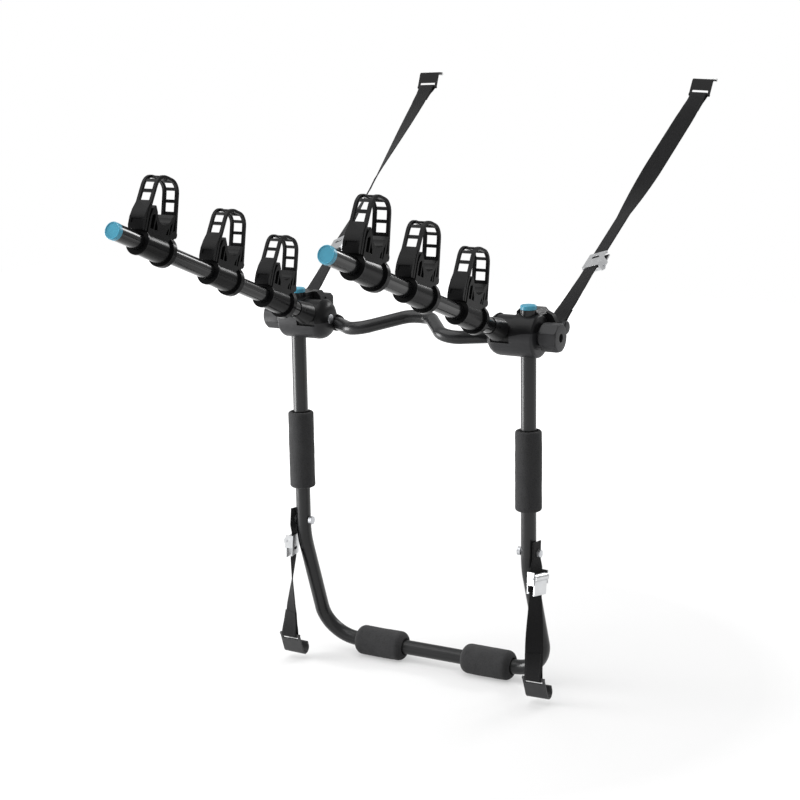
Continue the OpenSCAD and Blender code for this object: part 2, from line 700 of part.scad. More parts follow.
// cam buckle: a bent plate with two ears, a pin and a toothed lever
module buckle_body() {
  floor_z = -webbing_t / 2 - gap;
  ear_len = 22;
  lip_len = 3;
  difference() {
    union() {
      translate([-buckle_half, -buckle_len / 2, floor_z - ear_t]) cube([2 * buckle_half, buckle_len, ear_t]);
      for (x = [-buckle_half, buckle_half - ear_t])
        translate([x, -buckle_len / 2, floor_z - ear_t]) cube([ear_t, ear_len, ear_h + ear_t]);
      translate([-buckle_half, buckle_len / 2 - lip_len, floor_z - ear_t])
        cube([2 * buckle_half, lip_len, 2 * ear_t]);
    }
    translate([-webbing_width / 2 - 0.5, buckle_len / 2 - 4, floor_z]) cube([webbing_width + 1, 5, 10]);
    translate([0, cam_pin_y, cam_pin_z]) along_x(-30) cylinder(r = cam_pin_r + snug, h = 60);
    translate([-8, 4, floor_z - 5]) cube([16, 5, 10]);
  }
}
module cam_body() {
  half = buckle_half - ear_t - 0.6;
  difference() {
    union() {
      translate([0, cam_pin_y, cam_pin_z]) along_x(-half) cylinder(r = cam_r, h = 2 * half);
      translate([-half + lever_inset, cam_pin_y + lever_start, cam_pin_z + 0.8]) rotate([-4, 0, 0])
        cube([2 * (half - lever_inset), lever_len, lever_t]);
    }
    translate([0, cam_pin_y, cam_pin_z]) along_x(-30) cylinder(r = cam_pin_r + gap, h = 60);
  }
}
module pin_body() {
  translate([0, cam_pin_y, cam_pin_z]) along_x(-buckle_half - 1)
    cylinder(r = cam_pin_r, h = 2 * buckle_half + 2);
}
module on_upper_buckle(s) {
  side(s) at_pivot() upper_place(s, upper_buckle_s) rotate([0, 180, 0]) children();
}
module on_lower_buckle(s) {
  side(s) at_strap_bolt() lower_place(lower_buckle_s) rotate([0, 180, 0]) children();
}
zinc = [0.72, 0.73, 0.75];
lever_zinc = [0.66, 0.67, 0.69];
module upper_buckle(s) { color(zinc) on_upper_buckle(s) buckle_body(); }
module lower_buckle(s) { color(zinc) on_lower_buckle(s) buckle_body(); }
module upper_cam(s) { color(lever_zinc) on_upper_buckle(s) cam_body(); }
module lower_cam(s) { color(lever_zinc) on_lower_buckle(s) cam_body(); }
module buckle_pins() {
  color([0.6, 0.6, 0.62]) for (s = [-1, 1]) {
    on_upper_buckle(s) pin_body();
    on_lower_buckle(s) pin_body();
  }
}

// hooks: a plate with a bar for the webbing; the upper ones end in a bent lip, the lower ones in a curl
plate_start = hook_loop + webbing_t / 2 + hook_slot;
upper_hook_line = [[plate_start, 0], [upper_plate, 0],
  [upper_plate + upper_lip * cos(upper_lip_angle), -upper_lip * sin(upper_lip_angle)]];
upper_hook_bends = [5];
lower_end = lower_plate + lower_curl_r;
lower_hook_line = [[plate_start, 0], [lower_end, 0], [lower_end, -2 * lower_curl_r],
  [lower_plate + lower_curl_r - lower_lip, -2 * lower_curl_r]];
lower_hook_bends = [lower_curl_r - 0.3, lower_curl_r - 0.3];
module hook_body(line, bends) {
  rail_w = hook_half - webbing_width / 2 - 0.8;
  translate([-hook_half, 0, 0]) rotate([90, 0, 90])
    linear_extrude(2 * hook_half) flat_band(line, bends, hook_t);
  along_x(-hook_half) cylinder(r = hook_bar_r, h = 2 * hook_half);
  for (x = [-hook_half, hook_half - rail_w])
    translate([x, 0, -hook_t / 2]) cube([rail_w, plate_start + 2, hook_t]);
}
hook_grey = [0.14, 0.14, 0.15];
module upper_hook(s) {
  color(hook_grey) side(s) at_pivot() upper_place(s, upper_long(s)) rotate([upper_hook_tilt, 0, 0])
    hook_body(upper_hook_line, upper_hook_bends);
}
module lower_hook(s) {
  color(hook_grey) side(s) at_strap_bolt() lower_place(lower_long) rotate([0, 180, 0])
    rotate([-lower_hook_tilt, 0, 0]) hook_body(lower_hook_line, lower_hook_bends);
}

lower_frame();
foam_sleeve(-1);  // foam_sleeve_left
foam_sleeve(1);  // foam_sleeve_right
foot_pad(-1);  // foot_pad_left
foot_pad(1);  // foot_pad_right
crossbar();
hub_pod(-1);  // hub_pod_left
hub_pod(1);  // hub_pod_right
hub_cover(-1);  // hub_cover_left
hub_cover(1);  // hub_cover_right
hub_screws();
pivot_bolts();
upright_plugs();
strap_pins();
strap_bolts();
knob(-1);  // knob_left
knob(1);  // knob_right
arm_tube(-1, arm_pitch_left);  // arm_left
arm_tube(1, arm_pitch_right);  // arm_right
arm_cap(-1, arm_pitch_left);  // arm_cap_left
arm_cap(1, arm_pitch_right);  // arm_cap_right
arm_root(-1, arm_pitch_left);  // arm_root_left
arm_root(1, arm_pitch_right);  // arm_root_right
arm_pin(-1, arm_pitch_left);  // arm_pin_left
arm_pin(1, arm_pitch_right);  // arm_pin_right
cradle(-1, arm_pitch_left, cradle_at_left[0]);  // cradle_left_1
cradle(-1, arm_pitch_left, cradle_at_left[1]);  // cradle_left_2
cradle(-1, arm_pitch_left, cradle_at_left[2]);  // cradle_left_3
cradle(1, arm_pitch_right, cradle_at_right[0]);  // cradle_right_1
cradle(1, arm_pitch_right, cradle_at_right[1]);  // cradle_right_2
cradle(1, arm_pitch_right, cradle_at_right[2]);  // cradle_right_3
ladder(-1, arm_pitch_left, cradle_at_left[0]);  // ladder_left_1
ladder(-1, arm_pitch_left, cradle_at_left[1]);  // ladder_left_2
ladder(-1, arm_pitch_left, cradle_at_left[2]);  // ladder_left_3
ladder(1, arm_pitch_right, cradle_at_right[0]);  // ladder_right_1
ladder(1, arm_pitch_right, cradle_at_right[1]);  // ladder_right_2
ladder(1, arm_pitch_right, cradle_at_right[2]);  // ladder_right_3
upper_webbing(-1);  // upper_webbing_left
upper_webbing(1);  // upper_webbing_right
lower_webbing(-1);  // lower_webbing_left
lower_webbing(1);  // lower_webbing_right
upper_buckle(-1);  // upper_buckle_left
upper_buckle(1);  // upper_buckle_right
lower_buckle(-1);  // lower_buckle_left
lower_buckle(1);  // lower_buckle_right
upper_cam(-1);  // upper_cam_left
upper_cam(1);  // upper_cam_right
lower_cam(-1);  // lower_cam_left
lower_cam(1);  // lower_cam_right
buckle_pins();
upper_hook(-1);  // upper_hook_left
upper_hook(1);  // upper_hook_right
lower_hook(-1);  // lower_hook_left
lower_hook(1);  // lower_hook_right
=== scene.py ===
"""Looks of a strap-on bike carrier: webbing, foam, painted tubes, hubs, cradles and metal fittings."""
import json
import math

import bpy
from bpy.props import FloatProperty, FloatVectorProperty, PointerProperty
from mathutils import Matrix, Vector, noise

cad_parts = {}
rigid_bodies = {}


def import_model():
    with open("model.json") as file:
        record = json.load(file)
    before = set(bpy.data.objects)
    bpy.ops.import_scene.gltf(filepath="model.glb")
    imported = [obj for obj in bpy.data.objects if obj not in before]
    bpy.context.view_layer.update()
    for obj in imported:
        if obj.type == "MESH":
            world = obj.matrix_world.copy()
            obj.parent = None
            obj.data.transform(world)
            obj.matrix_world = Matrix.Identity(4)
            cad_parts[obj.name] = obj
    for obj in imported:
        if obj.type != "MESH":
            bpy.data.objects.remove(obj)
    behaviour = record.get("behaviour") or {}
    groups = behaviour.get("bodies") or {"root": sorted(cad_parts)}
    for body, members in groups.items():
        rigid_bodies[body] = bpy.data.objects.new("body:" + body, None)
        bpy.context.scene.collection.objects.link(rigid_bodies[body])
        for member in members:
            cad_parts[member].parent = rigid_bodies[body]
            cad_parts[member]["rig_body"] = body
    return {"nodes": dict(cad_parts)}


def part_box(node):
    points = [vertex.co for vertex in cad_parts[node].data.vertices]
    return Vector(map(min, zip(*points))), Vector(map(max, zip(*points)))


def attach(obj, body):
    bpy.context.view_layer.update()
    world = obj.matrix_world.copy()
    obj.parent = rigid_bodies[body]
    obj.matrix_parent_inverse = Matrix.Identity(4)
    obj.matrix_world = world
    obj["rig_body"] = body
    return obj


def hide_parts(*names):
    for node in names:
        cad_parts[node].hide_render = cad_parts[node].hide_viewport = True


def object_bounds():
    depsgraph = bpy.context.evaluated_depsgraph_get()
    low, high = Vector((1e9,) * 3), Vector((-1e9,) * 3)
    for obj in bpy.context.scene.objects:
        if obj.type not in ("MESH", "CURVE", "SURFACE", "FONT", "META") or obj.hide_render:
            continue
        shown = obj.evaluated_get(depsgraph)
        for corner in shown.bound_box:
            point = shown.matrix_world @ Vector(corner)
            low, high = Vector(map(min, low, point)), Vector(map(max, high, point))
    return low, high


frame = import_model()
CAD_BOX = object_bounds()
SIDES = ("left", "right")
ENDS = ("upper", "lower")
ROWS = (1, 2, 3)

bl_info = {
    "name": "Strap-on bike carrier",
    "version": (1, 0, 0),
    "blender": (4, 5, 0),
    "location": "3D View > Sidebar > Carrier",
    "description": "Webbing, foam and finishes of a strap-on bike carrier",
    "category": "Object",
}


# Settings

def length(name, description, default):
    return FloatProperty(name=name, description=description, default=default, subtype="DISTANCE",
                         unit="LENGTH")


def angle(name, description, degrees):
    return FloatProperty(name=name, description=description, default=math.radians(degrees), subtype="ANGLE")


def colour(name, description, default):
    return FloatVectorProperty(name=name, description=description, default=default, subtype="COLOR", size=3,
                               min=0, max=1)


class CarrierSizes(bpy.types.PropertyGroup):
    """Sizes of the soft pieces and of the rounded edges."""
    webbing_width: length("Webbing width", "Width of the straps", 0.030)
    webbing_thickness: length("Webbing thickness", "Thickness of the straps", 0.0018)
    webbing_lap: length("Lap", "Length of strap sewn back on itself at a loop", 0.042)
    pin_radius: length("Anchor pin radius", "Radius of the pin behind each hub", 0.005)
    bar_radius: length("Hook bar radius", "Radius of the bar in each hook", 0.0026)
    loop_gap: length("Loop gap", "Play of a strap round its pin", 0.0003)
    tube_radius: length("Tube radius", "Radius of the frame tube inside the foam", 0.0127)
    sleeve_edge: length("Sleeve edge", "Rounding of a foam sleeve's ends", 0.004)
    pad_edge: length("Pad edge", "Rounding of a foot pad's ends", 0.0115)
    mould_edge: length("Mould edge", "Rounding of moulded plastic edges", 0.0009)
    metal_edge: length("Metal edge", "Rounding of sheet metal edges", 0.0004)
    window_width: length("Window width", "Width of the upper window in a ladder strap's front leg", 0.017)
    window_height: length("Window height", "Height of the upper window in a ladder strap's front leg", 0.012)
    lip_radius: length("Lip radius", "Radius of the rolled edge of an upper hook's lip", 0.0026)


class CarrierColours(bpy.types.PropertyGroup):
    """Colours of the finishes."""
    frame_black: colour("Frame", "Powder coat of the frame", (0.0105, 0.0108, 0.0115))
    arm_black: colour("Arms", "Gloss paint of the arms", (0.006, 0.006, 0.0065))
    shell_black: colour("Hubs", "Moulded hub shells", (0.012, 0.012, 0.0128))
    cradle_black: colour("Cradles", "Moulded cradles", (0.0045, 0.0045, 0.0048))
    rubber_black: colour("Ladder straps", "Rubber of the ladder straps", (0.0035, 0.0035, 0.0038))
    foam_grey: colour("Foam", "Foam of the sleeves and foot pads", (0.032, 0.032, 0.033))
    webbing_black: colour("Webbing", "Threads of the straps", (0.012, 0.012, 0.0125))
    thread_grey: colour("Thread", "Sewing thread", (0.022, 0.022, 0.023))
    cap_blue: colour("Caps", "Blue end caps and plugs", (0.055, 0.30, 0.43))
    zinc: colour("Zinc", "Plated buckles", (0.68, 0.69, 0.70))
    bolt_steel: colour("Bolts", "Plated bolts and pins", (0.55, 0.56, 0.58))
    hook_grey: colour("Hooks", "Coated hooks", (0.045, 0.045, 0.046))


class CarrierStage(bpy.types.PropertyGroup):
    """Camera and light."""
    azimuth: angle("Azimuth", "Camera's turn from the front", 29.8)
    elevation: angle("Elevation", "Camera's height angle", 12.3)
    roll: angle("Roll", "Camera's tilt", -0.9)
    distance: length("Distance", "Camera to target", 3.0885)
    target: FloatVectorProperty(name="Target", description="Point in the middle of the picture",
                                default=(-0.0201, -0.073, 0.4652), subtype="TRANSLATION")
    lens: FloatProperty(name="Lens", description="Focal length on a 36 mm sensor", default=83.08,
                        unit="CAMERA")
    key_power: FloatProperty(name="Key light", description="Power of the large lamp", default=70,
                             unit="POWER")
    rim_power: FloatProperty(name="Side light", description="Power of the strip lamp behind", default=16,
                             unit="POWER")
    room_light: FloatProperty(name="Room", description="Brightness of the room on the object", default=0.55)
    floor_size: length("Floor", "Half width of the floor", 4.0)


# Shader maths

class Wire:
    """One value inside a material: operators on it add Math nodes."""

    def __init__(self, paint, socket):
        self.paint = paint
        self.socket = socket

    def math(self, operation, first, second=0.0):
        return self.paint.node("ShaderNodeMath", {"operation": operation}, {0: first, 1: second})

    def __add__(self, other):
        return self.math("ADD", self, other)

    def __radd__(self, other):
        return self.math("ADD", other, self)

    def __sub__(self, other):
        return self.math("SUBTRACT", self, other)

    def __mul__(self, other):
        return self.math("MULTIPLY", self, other)

    def __truediv__(self, other):
        return self.math("DIVIDE", self, other)

    def __lt__(self, other):
        return self.math("LESS_THAN", self, other)

    def __abs__(self):
        return self.math("ABSOLUTE", self)

    def __mod__(self, other):
        return self.math("FLOORED_MODULO", self, other)

    def sine(self):
        return self.math("SINE", self)

    def floor(self):
        return self.math("FLOOR", self)


class Paint:
    """A material under construction, around one Principled shader."""

    def __init__(self, name):
        self.material = bpy.data.materials.new(name)
        self.material.use_nodes = True
        self.tree = self.material.node_tree
        self.shader = self.tree.nodes["Principled BSDF"]

    def node(self, kind, settings=None, sockets=None, out=0):
        made = self.tree.nodes.new(kind)
        for name, value in (settings or {}).items():
            if name == "stops":
                self.set_stops(made.color_ramp, value)
            else:
                setattr(made, name, value)
        for name, value in (sockets or {}).items():
            self.feed(made.inputs[name], value)
        return Wire(self, made.outputs[out])

    def set_stops(self, ramp, stops):
        while len(ramp.elements) < len(stops):
            ramp.elements.new(1.0)
        for element, (place, level) in zip(ramp.elements, stops):
            element.position = place
            element.color = (level, level, level, 1.0)

    def feed(self, socket, value):
        if isinstance(value, Wire):
            self.tree.links.new(value.socket, socket)
        else:
            socket.default_value = value

    def surface(self, **sockets):
        for name, value in sockets.items():
            self.feed(self.shader.inputs[name.replace("_", " ")], value)

    def place(self):
        return self.node("ShaderNodeTexCoord", out="Object")

    def grain(self, scale, detail, stretch=(1.0, 1.0, 1.0)):
        """Noise from 0 to 1, with so many grains to the metre."""
        spread = self.node("ShaderNodeMapping", None, {"Vector": self.place(), "Scale": stretch})
        return self.node("ShaderNodeTexNoise", None, {"Vector": spread, "Scale": scale, "Detail": detail})

    def levels(self, value, *stops):
        return self.node("ShaderNodeValToRGB", {"stops": stops}, {0: value})

    def blend(self, share, first, second):
        return self.node("ShaderNodeMix", {"data_type": "RGBA"},
                         {0: share, 6: rgba(first), 7: rgba(second)}, out=2)

    def relief(self, height, depth):
        bump = self.node("ShaderNodeBump", None, {"Height": height, "Distance": depth, "Strength": 1.0})
        self.surface(Normal=bump)


def rgba(value):
    """A colour with its alpha; a wire goes through as it is."""
    return value if isinstance(value, Wire) else (*value, 1.0)


def shade(tone, amount):
    """A colour made so many times as light."""
    return tuple(min(1.0, channel * amount) for channel in tone)


# Finishes

def coated_tube(name, tone, rough, peel):
    """Sprayed paint: a slight orange peel, dust specks and uneven gloss."""
    paint = Paint(name)
    cloud = paint.grain(14, 4)
    speck = paint.levels(paint.grain(900, 2), (0.62, 0.0), (0.78, 1.0))
    paint.surface(
        Base_Color=paint.blend(cloud * 0.5 + speck * 0.3, shade(tone, 0.8), shade(tone, 1.6)),
        Roughness=rough + cloud * 0.10 + speck * 0.12,
        Specular_IOR_Level=0.25,
        Coat_Weight=0.2,
        Coat_Roughness=0.08,
    )
    paint.relief(paint.grain(420, 2) + speck * 0.3, peel)
    return paint.material


def moulded_plastic(name, tone, rough, grain_depth, shine):
    """Moulded plastic with a fine spark-eroded grain and faint flow marks."""
    paint = Paint(name)
    flow = paint.grain(22, 5)
    pit = paint.grain(1700, 2)
    paint.surface(
        Base_Color=paint.blend(flow * 0.6 + pit * 0.4, shade(tone, 0.75), shade(tone, 1.45)),
        Roughness=rough + flow * 0.14 - pit * 0.08,
        Specular_IOR_Level=shine,
    )
    paint.relief(pit, grain_depth)
    return paint.material


def moulded_rubber(name, tone):
    """Rubber with a dull bloom and fine pits."""
    paint = Paint(name)
    bloom = paint.grain(35, 5)
    pit = paint.grain(1200, 3)
    paint.surface(
        Base_Color=paint.blend(bloom, shade(tone, 0.7), shade(tone, 1.7)),
        Roughness=0.20 + bloom * 0.14,
        Specular_IOR_Level=0.1,
    )
    paint.relief(pit * 0.7 + bloom * 0.3, 0.00006)
    return paint.material


def closed_foam(name, tone):
    """Closed-cell foam: small round cells with a matte skin and painted shade in the pits between them."""
    paint = Paint(name)
    cell = paint.node("ShaderNodeTexVoronoi", {"feature": "F1"}, {"Vector": paint.place(), "Scale": 620.0})
    patch = paint.grain(60, 4)
    # Painted shade: the colour darkens toward the cells' edges, which the bump sinks as pits; the patches
    # are random tone
    paint.surface(
        Base_Color=paint.blend(cell * 0.7 + patch * 0.4, shade(tone, 1.5), shade(tone, 0.65)),
        Roughness=0.9 + patch * 0.08,
        Sheen_Weight=0.08,
        Sheen_Roughness=0.6,
        Specular_IOR_Level=0.15,
    )
    paint.relief(patch * 0.8 - cell, 0.00035)
    return paint.material


def gloss_blue(name, tone):
    """Light blue moulded plastic with a faint swirl."""
    paint = Paint(name)
    swirl = paint.grain(60, 4)
    pit = paint.grain(1400, 2)
    paint.surface(
        Base_Color=paint.blend(swirl, shade(tone, 0.86), shade(tone, 1.12)),
        Roughness=0.30 + pit * 0.14,
        IOR=1.47,
    )
    paint.relief(pit, 0.00002)
    return paint.material


def plated_steel(name, tone, rough):
    """Zinc plate: brushed streaks, dull clouds and tiny scratches."""
    paint = Paint(name)
    streak = paint.grain(240, 3, stretch=(1.0, 1.0, 14.0))
    cloud = paint.grain(70, 4)
    paint.surface(
        Base_Color=paint.blend(cloud, shade(tone, 0.82), shade(tone, 1.08)),
        Metallic=1.0,
        Roughness=rough + cloud * 0.16 + streak * 0.08,
    )
    paint.relief(streak, 0.00002)
    return paint.material


def dipped_steel(name, tone, rough):
    """Steel dipped in vinyl: smooth, with slow waves."""
    paint = Paint(name)
    wave = paint.grain(90, 2)
    pit = paint.grain(1100, 2)
    paint.surface(
        Base_Color=paint.blend(wave, shade(tone, 0.8), shade(tone, 1.35)),
        Roughness=rough + pit * 0.16,
        Specular_IOR_Level=0.2,
    )
    paint.relief(wave + pit * 0.25, 0.00012)
    return paint.material


WEAVE_COLUMN = 0.00165
WEAVE_PICK = 0.0031
WEAVE_TURN = 8.0
STITCH_INSET = 0.0035
STITCH_LONG = 0.0032
STITCH_WIDE = 0.0006
STITCH_SHARE = 0.78


def woven_webbing(name, tone, thread, half_width):
    """Herringbone polyester webbing with painted shade in its weave grooves; the strap's own map is in
    metres, across and along.
    """
    paint = Paint(name)
    parts = paint.node("ShaderNodeSeparateXYZ", None, {0: paint.node("ShaderNodeTexCoord", out="UV")})
    across = Wire(paint, parts.socket.node.outputs[0])
    along = Wire(paint, parts.socket.node.outputs[1])
    column = (across / WEAVE_COLUMN).floor()
    lean = abs((column % WEAVE_TURN) - WEAVE_TURN / 2)
    pick = (along / WEAVE_PICK + lean * 0.25) * (2 * math.pi)
    cord = abs(((across / WEAVE_COLUMN) % 1.0) - 0.5)
    height = pick.sine() * 0.5 + 0.5 - cord * 0.9
    fuzz = paint.grain(2600, 2)
    worn = paint.grain(40, 3)
    sewn = paint.node("ShaderNodeAttribute", {"attribute_name": "sewn"}, out="Fac")
    rim = half_width - STITCH_INSET
    seam = abs(abs(across) - rim) < STITCH_WIDE
    dash = ((along / STITCH_LONG) % 1.0) < STITCH_SHARE
    stitch = seam * dash * sewn
    # Painted shade: the weave relief darkens the grooves and lightens the raised threads; fuzz and wear add
    # random tone
    cloth_with_painted_shade = paint.blend(height * 0.5 + fuzz * 0.3 + worn * 0.2, shade(tone, 0.8), shade(tone, 1.35))
    paint.surface(
        Base_Color=paint.blend(stitch, cloth_with_painted_shade, thread),
        Roughness=0.72 + fuzz * 0.2,
        Sheen_Weight=0.05,
        Sheen_Roughness=0.5,
        Specular_IOR_Level=0.12,
    )
    paint.relief(height + stitch * 1.4 + fuzz * 0.2, 0.0003)
    return paint.material


# Mesh helpers

WELD_GAP = 1e-6
FLAT_ANGLE = math.radians(0.5)
CREASE_ANGLE = math.radians(30)
BEVEL_ANGLE = math.radians(32)
BEVEL_STEPS = 3
LIP_EDGE = 0.0025
LIP_SIDES = 24


def only(obj):
    """Selects one object and makes it active."""
    bpy.ops.object.select_all(action="DESELECT")
    obj.hide_set(False)
    obj.select_set(True)
    bpy.context.view_layer.objects.active = obj


def dress(obj, finish, body, slot, *nodes):
    """Gives a piece its finish and its body, and hides the solids that it stands for."""
    obj.data.materials.clear()
    obj.data.materials.append(finish)
    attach(obj, body)
    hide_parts(*nodes)
    return obj


def paint_node(node, finish):
    """Puts a finish on a solid that shows as it is."""
    mesh = frame["nodes"][node].data
    mesh.materials.clear()
    mesh.materials.append(finish)


def body_of(node):
    return frame["nodes"][node]["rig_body"]


def softened(node, edge, finish, slot, cutter=None):
    """A copy of a solid with rounded edges, which stands for it; a cutter takes a piece out first."""
    source = frame["nodes"][node]
    obj = bpy.data.objects.new(node + "_finish", source.data.copy())
    bpy.context.scene.collection.objects.link(obj)
    only(obj)
    bpy.ops.mesh.customdata_custom_splitnormals_clear()
    bpy.ops.object.mode_set(mode="EDIT")
    bpy.ops.mesh.select_all(action="SELECT")
    bpy.ops.mesh.remove_doubles(threshold=WELD_GAP)
    bpy.ops.mesh.dissolve_limited(angle_limit=FLAT_ANGLE)
    bpy.ops.object.mode_set(mode="OBJECT")
    if cutter:
        cut = obj.modifiers.new("cut", "BOOLEAN")
        cut.object = cutter
        bpy.ops.object.modifier_apply(modifier=cut.name)
        bpy.data.objects.remove(cutter)
    bpy.ops.object.shade_smooth_by_angle(angle=CREASE_ANGLE)
    bevel = obj.modifiers.new("edge", "BEVEL")
    bevel.width = edge
    bevel.segments = BEVEL_STEPS
    bevel.limit_method = "ANGLE"
    bevel.angle_limit = BEVEL_ANGLE
    bevel.miter_outer = "MITER_ARC"
    bevel.use_clamp_overlap = True
    bevel.harden_normals = True
    bpy.ops.object.modifier_apply(modifier=bevel.name)
    return dress(obj, finish, body_of(node), slot, node)


def rolled_lip(hook, node, radius):
    """Adds the thick rolled edge at the end of a hook's lip, which reaches farthest toward the car."""
    points = [vertex.co for vertex in frame["nodes"][node].data.vertices]
    reach = max(point.y for point in points)
    edge = [point for point in points if point.y > reach - LIP_EDGE]
    span = max(edge, key=lambda point: point.x) - min(edge, key=lambda point: point.x)
    middle = sum(edge, Vector()) / len(edge)
    turn = span.to_track_quat("Z", "Y").to_euler()
    bpy.ops.object.select_all(action="DESELECT")
    bpy.ops.mesh.primitive_cylinder_add(vertices=LIP_SIDES, radius=radius, depth=span.length,
                                        location=middle, rotation=turn)
    roll = bpy.context.object
    bpy.ops.object.transform_apply(location=True, rotation=True, scale=True)
    bpy.ops.object.shade_smooth_by_angle(angle=CREASE_ANGLE)
    only(hook)
    roll.select_set(True)
    bpy.ops.object.join()


# Straps

PIVOT = Vector((0.0, -0.073, 0.593))
BOLT = Vector((0.0, -0.073, 0.233))
UPPER_START = PIVOT + Vector((0.2395, 0.050, 0.008))
UPPER_END = {"left": PIVOT + Vector((0.280, 0.580, 0.358)), "right": PIVOT + Vector((0.280, 0.580, 0.350))}
LOWER_START = BOLT + Vector((0.2335, -0.001, 0.020))
LOWER_END = BOLT + Vector((0.238, -0.024, -0.208))
UPPER_TURN = {
    "right": ((0, 0), (0.2, 22), (0.45, 22), (0.66, -30), (0.88, -25), (1, 0)),
    "left": ((0, 0), (0.22, -25), (0.3, -25), (0.53, -55), (0.8, -20), (1, 0)),
}
LOWER_TURN = ((0, 90), (0.13, 90), (0.19, 75), (0.39, 75), (0.54, 60), (0.94, 5), (1, 0))
STRAP_STEP = 0.004
STRAP_CREASE = math.radians(40)
ROUTE_POINTS = 17
LOOP_STEPS = 14
LAP_STEPS = 8
LAP_LIFT = 0.53
LAP_FOOT = 0.3
LAP_SETTLE = 0.026
LAP_END = 0.012
SECTION_STEPS = 9
EDGE_STEPS = 3


def look_up(share, table):
    """The value of a table of shares and values at one share."""
    if share <= table[0][0]:
        return table[0][1]
    for (low, first), (high, second) in zip(table, table[1:]):
        if share <= high:
            return first + (second - first) * (share - low) / (high - low)
    return table[-1][1]


class StrapLine:
    """A straight strap run whose flat side turns on the way."""

    def __init__(self, start, end, turns, mirrored):
        self.start = start
        self.long = (end - start).length
        self.way = (end - start).normalized()
        self.turns = turns
        self.flip = -1.0 if mirrored else 1.0

    def mirror(self, vector):
        return Vector((vector.x * self.flip, vector.y, vector.z))

    def at(self, along, off, aside):
        """The point so far along, off the flat side and aside across the width."""
        twist = math.radians(look_up(along / self.long, self.turns))
        level = (Vector((1, 0, 0)) - self.way * self.way.x).normalized()
        wide = level * math.cos(twist) + level.cross(self.way) * math.sin(twist)
        out = wide.cross(self.way)
        return self.mirror(self.start + self.way * along + out * off + wide * aside)

    def route(self):
        return [self.at(self.long * i / (ROUTE_POINTS - 1), 0, 0) for i in range(ROUTE_POINTS)]


def smooth(share):
    """An even ease from 0 to 1."""
    share = min(1.0, max(0.0, share))
    return share * share * (3 - 2 * share)


def loop_path(centre, radius, lap, thick, out):
    """Flat points of a strap that comes back round a bar; out is 1 at the far end and -1 at the near end."""
    there = []
    for i in range(LAP_STEPS + 1):
        away = lap - (lap - radius * LAP_FOOT) * i / LAP_STEPS
        lift = thick * LAP_LIFT + (radius - thick * LAP_LIFT) * smooth(1 - away / LAP_SETTLE)
        there.append((centre - out * away, -lift, 1.0))
    turns = [math.pi * i / LOOP_STEPS for i in range(1, LOOP_STEPS)]
    bend = [(centre + out * radius * math.sin(turn), -radius * math.cos(turn), 1.0) for turn in turns]
    back = [(along, -off, sewn) for along, off, sewn in reversed(there)]
    return there + bend + back


def strap_path(line, sizes, near_radius, far_radius):
    """Flat points (along, off, sewn) of a whole strap from its near end to its far end."""
    thick = sizes.webbing_thickness
    lap = sizes.webbing_lap
    half = thick / 2 + sizes.loop_gap
    path = []
    start = 0.0
    if near_radius:
        path += loop_path(0.0, near_radius + half, lap, thick, -1)
        start = lap + LAP_END
    stop = line.long - lap - LAP_END
    count = int((stop - start) / STRAP_STEP)
    for i in range(count + 1):
        path.append((start + (stop - start) * i / count, 0.0, 0.0))
    far = loop_path(line.long, far_radius + half, lap, thick, 1)
    path += [(along, -off, sewn) for along, off, sewn in far]
    return path


def strap_section(width, thick):
    """Outline of the webbing: two flats and two round selvedges, as (aside, off) points."""
    round_r = thick / 2
    flat = width / 2 - round_r
    top = [(-flat + 2 * flat * i / SECTION_STEPS, round_r) for i in range(SECTION_STEPS + 1)]
    turns = [math.pi * i / (EDGE_STEPS + 1) for i in range(1, EDGE_STEPS + 1)]
    right = [(flat + round_r * math.sin(turn), round_r * math.cos(turn)) for turn in turns]
    bottom = [(-x, -y) for x, y in top]
    left = [(-x, -y) for x, y in right]
    return top + right + bottom + left


def build_strap(name, line, path, sizes):
    """The strap's mesh, swept along its flat path with its twist, mapped in metres."""
    section = strap_section(sizes.webbing_width, sizes.webbing_thickness)
    count = len(section)
    points = []
    faces = []
    marks = []
    runs = []
    run = 0.0
    for i, (along, off, sewn) in enumerate(path):
        before = path[max(0, i - 1)]
        after = path[min(len(path) - 1, i + 1)]
        step = Vector((after[0] - before[0], after[1] - before[1])).normalized()
        if i:
            run += math.hypot(along - before[0], off - before[1])
        runs.append(run)
        marks.append(sewn)
        for aside, lift in section:
            points.append(line.at(along - step.y * lift, off + step.x * lift, aside))
    for i in range(len(path) - 1):
        for k in range(count):
            nxt = (k + 1) % count
            faces.append((i * count + k, i * count + nxt, (i + 1) * count + nxt, (i + 1) * count + k))
    faces.append(tuple(range(count - 1, -1, -1)))
    last = (len(path) - 1) * count
    faces.append(tuple(range(last, last + count)))
    mesh = bpy.data.meshes.new(name)
    mesh.from_pydata(points, [], faces)
    sewn_mark = mesh.attributes.new("sewn", "FLOAT", "POINT")
    for i, mark in enumerate(marks):
        for k in range(count):
            sewn_mark.data[i * count + k].value = mark
    chart = mesh.uv_layers.new(name="strap")
    for loop in mesh.loops:
        ring, spot = divmod(loop.vertex_index, count)
        chart.data[loop.index].uv = (section[spot][0], runs[ring])
    obj = bpy.data.objects.new(name, mesh)
    bpy.context.scene.collection.objects.link(obj)
    only(obj)
    bpy.ops.object.mode_set(mode="EDIT")
    bpy.ops.mesh.select_all(action="SELECT")
    bpy.ops.mesh.normals_make_consistent(inside=False)
    bpy.ops.object.mode_set(mode="OBJECT")
    bpy.ops.object.shade_smooth_by_angle(angle=STRAP_CREASE)
    return obj


